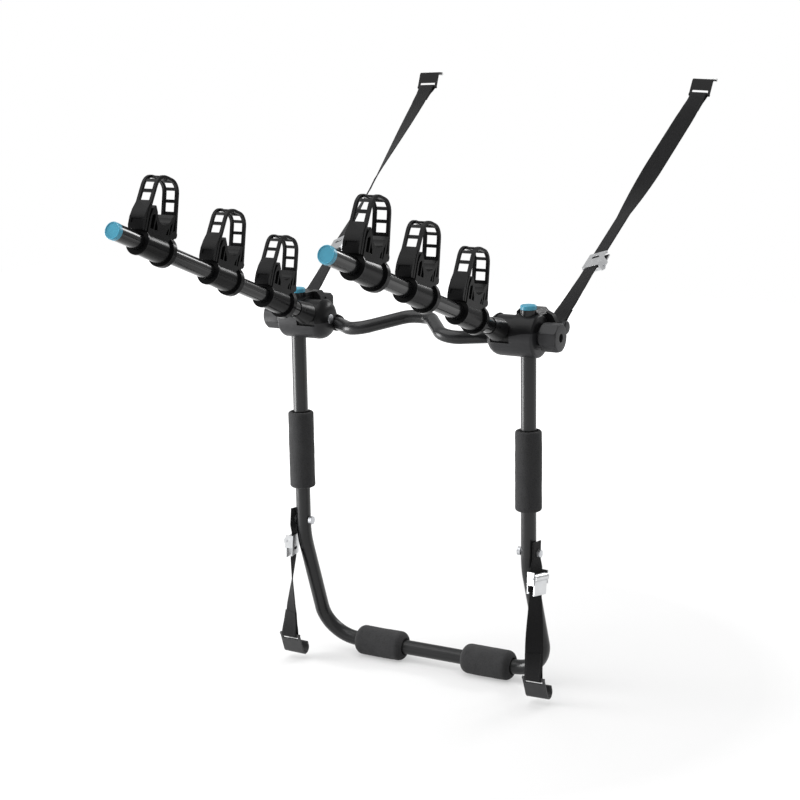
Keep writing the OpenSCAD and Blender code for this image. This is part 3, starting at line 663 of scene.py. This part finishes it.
class CARRIER_OT_straps(bpy.types.Operator):
    """Sews the four webbing straps with their loops."""
    bl_idname = "carrier.straps"
    bl_label = "Webbing straps"

    def execute(self, context):
        sizes = context.scene.carrier_sizes
        tones = context.scene.carrier_colours
        half_width = sizes.webbing_width / 2
        finish = woven_webbing("woven_webbing", tones.webbing_black, tones.thread_grey, half_width)
        for side in SIDES:
            mirrored = side == "left"
            upper = StrapLine(UPPER_START, UPPER_END[side], UPPER_TURN[side], mirrored)
            lower = StrapLine(LOWER_START, LOWER_END, LOWER_TURN, mirrored)
            runs = {"upper": (upper, sizes.pin_radius), "lower": (lower, None)}
            for end, (line, near) in runs.items():
                node = f"{end}_webbing_{side}"
                path = strap_path(line, sizes, near, sizes.bar_radius)
                strap = build_strap(f"{end}_strap_{side}", line, path, sizes)
                dress(strap, finish, "frame", "webbing", node)
                route = line.route()
        return {"FINISHED"}


# Foam

ROLL_SIDES = 72
ROLL_RINGS = 14
ROLL_EDGE_STEPS = 6
RING_MARGIN = 0.003
BORE_GAP = 0.0003
END_GAP = 1e-5
END_FACING = 0.9
RIM_SHARE = 0.9
SKIN_SHARE = 1.2
SWELLS = ((45, 0.0005), (160, 0.0002))


def foam_roll(name, node, axis, edge, sizes):
    """A foam roll with a bore for its tube, rounded ends and a slightly uneven skin."""
    low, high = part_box(node)
    middle = (low + high) / 2
    spread = high - low
    long = spread[axis]
    radius = spread[(axis + 1) % 3] / 2
    turn = (0, math.pi / 2, 0) if axis == 0 else (0, 0, 0)
    bpy.ops.object.select_all(action="DESELECT")
    bpy.ops.mesh.primitive_cylinder_add(vertices=ROLL_SIDES, radius=radius, depth=long, location=middle,
                                        rotation=turn)
    obj = bpy.context.object
    obj.name = name
    bpy.ops.object.transform_apply(location=True, rotation=True, scale=True)
    way = Vector([1.0 if i == axis else 0.0 for i in range(3)])

    def on_rim(point):
        """Whether a point is on the outer edge of one of the roll's ends."""
        along = (point - middle).dot(way)
        outward = (point - middle - way * along).length
        return abs(abs(along) - long / 2) < END_GAP and outward > radius * RIM_SHARE

    bpy.ops.object.mode_set(mode="EDIT")
    reach = long / 2 - edge - RING_MARGIN
    for i in range(ROLL_RINGS + 1):
        bpy.ops.mesh.select_all(action="SELECT")
        bpy.ops.mesh.bisect(plane_co=middle + way * reach * (2 * i / ROLL_RINGS - 1), plane_no=way)
    pick_faces(obj, lambda face: abs(face.normal.dot(way)) > END_FACING)
    bpy.ops.mesh.inset(thickness=radius - sizes.tube_radius - BORE_GAP)
    bpy.ops.mesh.bridge_edge_loops()
    pick_edges(obj, on_rim)
    bpy.ops.mesh.bevel(offset=edge, segments=ROLL_EDGE_STEPS)
    bpy.ops.mesh.select_all(action="SELECT")
    bpy.ops.mesh.normals_make_consistent(inside=False)
    bpy.ops.object.mode_set(mode="OBJECT")
    rounder = obj.modifiers.new("skin", "SUBSURF")
    rounder.levels = 1
    rounder.render_levels = 1
    bpy.ops.object.modifier_apply(modifier=rounder.name)
    for vertex in obj.data.vertices:
        out = vertex.co - middle
        out -= way * out.dot(way)
        if out.length > sizes.tube_radius * SKIN_SHARE:
            swell = sum(noise.noise(vertex.co * fine) * height for fine, height in SWELLS)
            vertex.co += out.normalized() * swell
    bpy.ops.object.shade_smooth()
    return obj


def pick_faces(obj, wanted):
    """Selects the faces that pass a test, in face mode."""
    bpy.ops.mesh.select_mode(type="FACE")
    bpy.ops.mesh.select_all(action="DESELECT")
    bpy.ops.object.mode_set(mode="OBJECT")
    for face in obj.data.polygons:
        face.select = wanted(face)
    bpy.ops.object.mode_set(mode="EDIT")


def pick_edges(obj, wanted):
    """Selects the edges whose middle passes a test, in edge mode."""
    bpy.ops.mesh.select_mode(type="EDGE")
    bpy.ops.mesh.select_all(action="DESELECT")
    bpy.ops.object.mode_set(mode="OBJECT")
    for edge in obj.data.edges:
        ends = [obj.data.vertices[i].co for i in edge.vertices]
        edge.select = wanted((ends[0] + ends[1]) / 2)
    bpy.ops.object.mode_set(mode="EDIT")


class CARRIER_OT_foam(bpy.types.Operator):
    """Makes the foam sleeves on the uprights and the foot pads on the bottom bar."""
    bl_idname = "carrier.foam"
    bl_label = "Foam"

    def execute(self, context):
        sizes = context.scene.carrier_sizes
        finish = closed_foam("closed_foam", context.scene.carrier_colours.foam_grey)
        for side in SIDES:
            for kind, axis, edge in (("foam_sleeve", 2, sizes.sleeve_edge), ("foot_pad", 0, sizes.pad_edge)):
                node = f"{kind}_{side}"
                roll = foam_roll(f"{kind}_{side}_foam", node, axis, edge, sizes)
                dress(roll, finish, "frame", "foam", node)
        return {"FINISHED"}


# Rigid pieces

POD_SHADE = 1.9
COVER_SHADE = 0.6
# Painted shade: the upper hooks' coat is the hook colour made darker than on the lower hooks
UPPER_HOOK_PAINTED_SHADE = 0.08
BLACKENED_SHADE = 0.06


class CARRIER_OT_tubes(bpy.types.Operator):
    """Paints the frame, the crossbar and the two arms."""
    bl_idname = "carrier.tubes"
    bl_label = "Painted tubes"

    def execute(self, context):
        tones = context.scene.carrier_colours
        satin = coated_tube("satin_coat", tones.frame_black, rough=0.30, peel=0.00005)
        gloss = coated_tube("gloss_coat", tones.arm_black, rough=0.14, peel=0.00003)
        for node in ("lower_frame", "crossbar"):
            paint_node(node, satin)
        for side in SIDES:
            paint_node(f"arm_{side}", gloss)
        return {"FINISHED"}


class CARRIER_OT_hubs(bpy.types.Operator):
    """Finishes the hub shells, the arm roots and the clamp knobs."""
    bl_idname = "carrier.hubs"
    bl_label = "Hubs and knobs"

    def execute(self, context):
        sizes = context.scene.carrier_sizes
        tones = context.scene.carrier_colours
        shell = moulded_plastic("hub_plastic", shade(tones.shell_black, POD_SHADE), rough=0.40,
                                grain_depth=0.00005, shine=0.22)
        dark = moulded_plastic("root_plastic", shade(tones.shell_black, COVER_SHADE), rough=0.28,
                               grain_depth=0.00003, shine=0.14)
        for side in SIDES:
            softened(f"hub_pod_{side}", sizes.mould_edge, shell, "shell")
            softened(f"hub_cover_{side}", sizes.mould_edge, dark, "shell")
            softened(f"arm_root_{side}", sizes.mould_edge, dark, "shell")
            softened(f"knob_{side}", sizes.mould_edge, shell, "shell")
        return {"FINISHED"}


# Places of the arms and ladder straps, as in part.scad
ARM_X = 0.181
ARM_PITCH = {"left": math.radians(21.4), "right": math.radians(19.9)}
CRADLE_AT = {"left": (0.48381, 0.29844, 0.13812), "right": (0.47379, 0.31998, 0.15215)}
LEG_TOP = Vector((0.0, -0.028, 0.10375))
LEG_FOOT = Vector((0.0, -0.0368, 0.042))
WINDOW_ALONG = 0.0185


def window_cutter(side, at, sizes):
    """A box where the upper window of a ladder strap's front leg goes."""
    pitch = Matrix.Rotation(-ARM_PITCH[side], 3, "X")
    way = (LEG_FOOT - LEG_TOP).normalized()
    place = pitch @ (LEG_TOP + way * WINDOW_ALONG - Vector((0.0, at, 0.0))) + PIVOT
    place.x = ARM_X if side == "right" else -ARM_X
    down = pitch @ way
    tilt = math.atan2(-down.y, down.z)
    bpy.ops.mesh.primitive_cube_add(size=1.0, location=place, rotation=(tilt, 0.0, 0.0))
    box = bpy.context.object
    box.scale = (sizes.window_width, sizes.window_width, sizes.window_height)
    bpy.ops.object.transform_apply(location=True, rotation=True, scale=True)
    return box


class CARRIER_OT_cradles(bpy.types.Operator):
    """Finishes the sliding cradles and their rubber ladder straps."""
    bl_idname = "carrier.cradles"
    bl_label = "Cradles and ladder straps"

    def execute(self, context):
        sizes = context.scene.carrier_sizes
        tones = context.scene.carrier_colours
        plastic = moulded_plastic("cradle_plastic", tones.cradle_black, rough=0.20, grain_depth=0.00003,
                                  shine=0.11)
        rubber = moulded_rubber("ladder_rubber", tones.rubber_black)
        for side in SIDES:
            for row in ROWS:
                softened(f"cradle_{side}_{row}", sizes.mould_edge, plastic, "cradle")
                window = window_cutter(side, CRADLE_AT[side][row - 1], sizes)
                softened(f"ladder_{side}_{row}", sizes.mould_edge, rubber, "strap_rubber", window)
        return {"FINISHED"}


class CARRIER_OT_caps(bpy.types.Operator):
    """Finishes the blue arm caps and upright plugs."""
    bl_idname = "carrier.caps"
    bl_label = "Blue caps"

    def execute(self, context):
        sizes = context.scene.carrier_sizes
        finish = gloss_blue("cap_plastic", context.scene.carrier_colours.cap_blue)
        for node in ("arm_cap_left", "arm_cap_right", "upright_plugs"):
            softened(node, sizes.mould_edge, finish, "blue")
        return {"FINISHED"}


class CARRIER_OT_fittings(bpy.types.Operator):
    """Finishes the buckles, hooks, bolts, pins and screws."""
    bl_idname = "carrier.fittings"
    bl_label = "Metal fittings"

    def execute(self, context):
        sizes = context.scene.carrier_sizes
        tones = context.scene.carrier_colours
        zinc = plated_steel("zinc_plate", tones.zinc, rough=0.22)
        steel = plated_steel("bolt_plate", tones.bolt_steel, rough=0.28)
        coats = {
            # The upper hooks' coat carries painted shade: the same coat as the lower hooks, darkened
            "upper": dipped_steel("hook_coat_painted_shade", shade(tones.hook_grey, UPPER_HOOK_PAINTED_SHADE), rough=0.55),
            "lower": dipped_steel("hook_coat", tones.hook_grey, rough=0.34),
        }
        dark = plated_steel("blackened_steel", shade(tones.bolt_steel, BLACKENED_SHADE), rough=0.36)
        for side in SIDES:
            for end in ENDS:
                softened(f"{end}_buckle_{side}", sizes.metal_edge, zinc, "zinc")
                softened(f"{end}_cam_{side}", sizes.metal_edge, zinc, "zinc")
                node = f"{end}_hook_{side}"
                hook = softened(node, sizes.mould_edge, coats[end], "hook_coat")
                if end == "upper":
                    rolled_lip(hook, node, sizes.lip_radius)
            paint_node(f"arm_pin_{side}", dark)
        for node in ("strap_bolts", "buckle_pins", "pivot_bolts"):
            softened(node, sizes.metal_edge, steel, "fastener")
        for node in ("strap_pins", "hub_screws"):
            softened(node, sizes.metal_edge, dark, "fastener")
        return {"FINISHED"}


# Stage

FLOOR_FADE = 1.6
FLOOR_GLOW = 0.37
FLOOR_NEAR = 0.35
FLOOR_DROP = 0.0005
SENSOR_WIDTH = 36.0
LEFT_PANEL_SHARE = 2

# Each lamp's place, the point that it faces, and its width and height
LAMPS = {
    "key": ((-0.6, -0.9, 3.0), (0, -0.2, 0.4), (3.2, 3.2)),
    "left_panel": ((-1.5, -0.8, 0.42), (0, -0.1, 0.3), (0.9, 0.85)),
    "back_strip": ((0.83, 1.95, 1.5), (0.05, -0.4, 0.65), (1.2, 0.35)),
}


def studio_floor(name):
    """A pale floor that the camera sees as white, darkened only where the object shades it."""
    paint = Paint(name)
    seen = paint.node("ShaderNodeLightPath", out="Is Camera Ray")
    mirrored = paint.node("ShaderNodeLightPath", out="Is Glossy Ray")
    away = paint.node("ShaderNodeVectorMath", {"operation": "LENGTH"}, {0: paint.place()}, out="Value")
    glow = paint.levels(away / FLOOR_FADE, (FLOOR_NEAR, FLOOR_GLOW), (1.0, 1.0))
    paint.surface(
        Base_Color=(0.5, 0.5, 0.5, 1.0),
        Roughness=0.9,
        Specular_IOR_Level=0.1,
        Emission_Color=paint.blend(seen + mirrored, (0.0, 0.0, 0.0), glow),
        Emission_Strength=1.0,
    )
    return paint.material


def softbox(name, power):
    """One flat lamp of the table."""
    place, aim, size = LAMPS[name]
    lamp = bpy.data.lights.new(name, "AREA")
    lamp.shape = "RECTANGLE"
    lamp.size = size[0]
    lamp.size_y = size[1]
    lamp.energy = power
    obj = bpy.data.objects.new(name, lamp)
    obj.location = place
    obj.rotation_euler = (Vector(aim) - Vector(place)).to_track_quat("-Z", "Y").to_euler()
    bpy.context.scene.collection.objects.link(obj)


def white_room(strength):
    """White to the camera, and a plain grey light on the object and in reflections."""
    world = bpy.data.worlds.new("room")
    bpy.context.scene.world = world
    world.use_nodes = True
    nodes = world.node_tree.nodes
    links = world.node_tree.links
    path = nodes.new("ShaderNodeLightPath")
    seen = nodes.new("ShaderNodeMath")
    seen.operation = "ADD"
    seen.use_clamp = True
    links.new(path.outputs["Is Camera Ray"], seen.inputs[0])
    links.new(path.outputs["Is Transmission Ray"], seen.inputs[1])
    level = nodes.new("ShaderNodeMapRange")
    level.inputs["To Min"].default_value = strength
    level.inputs["To Max"].default_value = 1.0
    links.new(seen.outputs[0], level.inputs["Value"])
    links.new(level.outputs[0], nodes["Background"].inputs["Strength"])
    nodes["Background"].inputs["Color"].default_value = (1.0, 1.0, 1.0, 1.0)


def picture_camera(setup):
    """The camera at the picture's viewing angle."""
    a = setup.azimuth
    e = setup.elevation
    back = Vector((math.sin(a) * math.cos(e), -math.cos(a) * math.cos(e), math.sin(e)))
    right = Vector((math.cos(a), math.sin(a), 0.0))
    up = back.cross(right)
    tilted_right = right * math.cos(setup.roll) + up * math.sin(setup.roll)
    tilted_up = up * math.cos(setup.roll) - right * math.sin(setup.roll)
    lens = bpy.data.cameras.new("picture")
    lens.lens = setup.lens
    lens.sensor_width = SENSOR_WIDTH
    lens.clip_end = 50.0
    obj = bpy.data.objects.new("picture", lens)
    turn = Matrix((tilted_right, tilted_up, back)).transposed().to_4x4()
    obj.matrix_world = Matrix.Translation(Vector(setup.target) + back * setup.distance) @ turn
    bpy.context.scene.collection.objects.link(obj)
    bpy.context.scene.camera = obj


class CARRIER_OT_stage(bpy.types.Operator):
    """Sets the floor, the soft light and the camera."""
    bl_idname = "carrier.stage"
    bl_label = "Stage"

    def execute(self, context):
        setup = context.scene.carrier_stage
        bpy.ops.object.select_all(action="DESELECT")
        floor_height = CAD_BOX[0][2] - FLOOR_DROP
        bpy.ops.mesh.primitive_plane_add(size=2 * setup.floor_size, location=(0, 0, floor_height))
        floor = context.object
        floor.name = "floor"
        bpy.ops.object.transform_apply(location=True, rotation=True, scale=True)
        floor.data.materials.append(studio_floor("studio_floor"))
        white_room(setup.room_light)
        softbox("key", setup.key_power)
        softbox("left_panel", setup.rim_power * LEFT_PANEL_SHARE)
        softbox("back_strip", setup.rim_power)
        context.scene.view_settings.view_transform = "Standard"
        picture_camera(setup)
        return {"FINISHED"}


class CARRIER_PT_panel(bpy.types.Panel):
    """Lists the carrier's steps and settings."""
    bl_idname = "CARRIER_PT_panel"
    bl_label = "Bike carrier"
    bl_space_type = "VIEW_3D"
    bl_region_type = "UI"
    bl_category = "Carrier"

    def draw(self, context):
        for step in STEPS:
            self.layout.operator(step.bl_idname)
        for group in GROUPS:
            settings = getattr(context.scene, group)
            for name in settings.bl_rna.properties.keys():
                if name not in ("rna_type", "name"):
                    self.layout.prop(settings, name)


STEPS = (CARRIER_OT_stage, CARRIER_OT_tubes, CARRIER_OT_hubs, CARRIER_OT_cradles, CARRIER_OT_caps,
         CARRIER_OT_fittings, CARRIER_OT_straps, CARRIER_OT_foam)
GROUPS = {"carrier_sizes": CarrierSizes, "carrier_colours": CarrierColours, "carrier_stage": CarrierStage}
CLASSES = (*GROUPS.values(), *STEPS, CARRIER_PT_panel)


def register():
    for item in CLASSES:
        bpy.utils.register_class(item)
    for name, group in GROUPS.items():
        setattr(bpy.types.Scene, name, PointerProperty(type=group))


def unregister():
    for name in GROUPS:
        delattr(bpy.types.Scene, name)
    for item in reversed(CLASSES):
        bpy.utils.unregister_class(item)


def main():
    register()
    for step in STEPS:
        group, name = step.bl_idname.split(".")
        getattr(getattr(bpy.ops, group), name)()


if __name__ == "__main__":
    main()
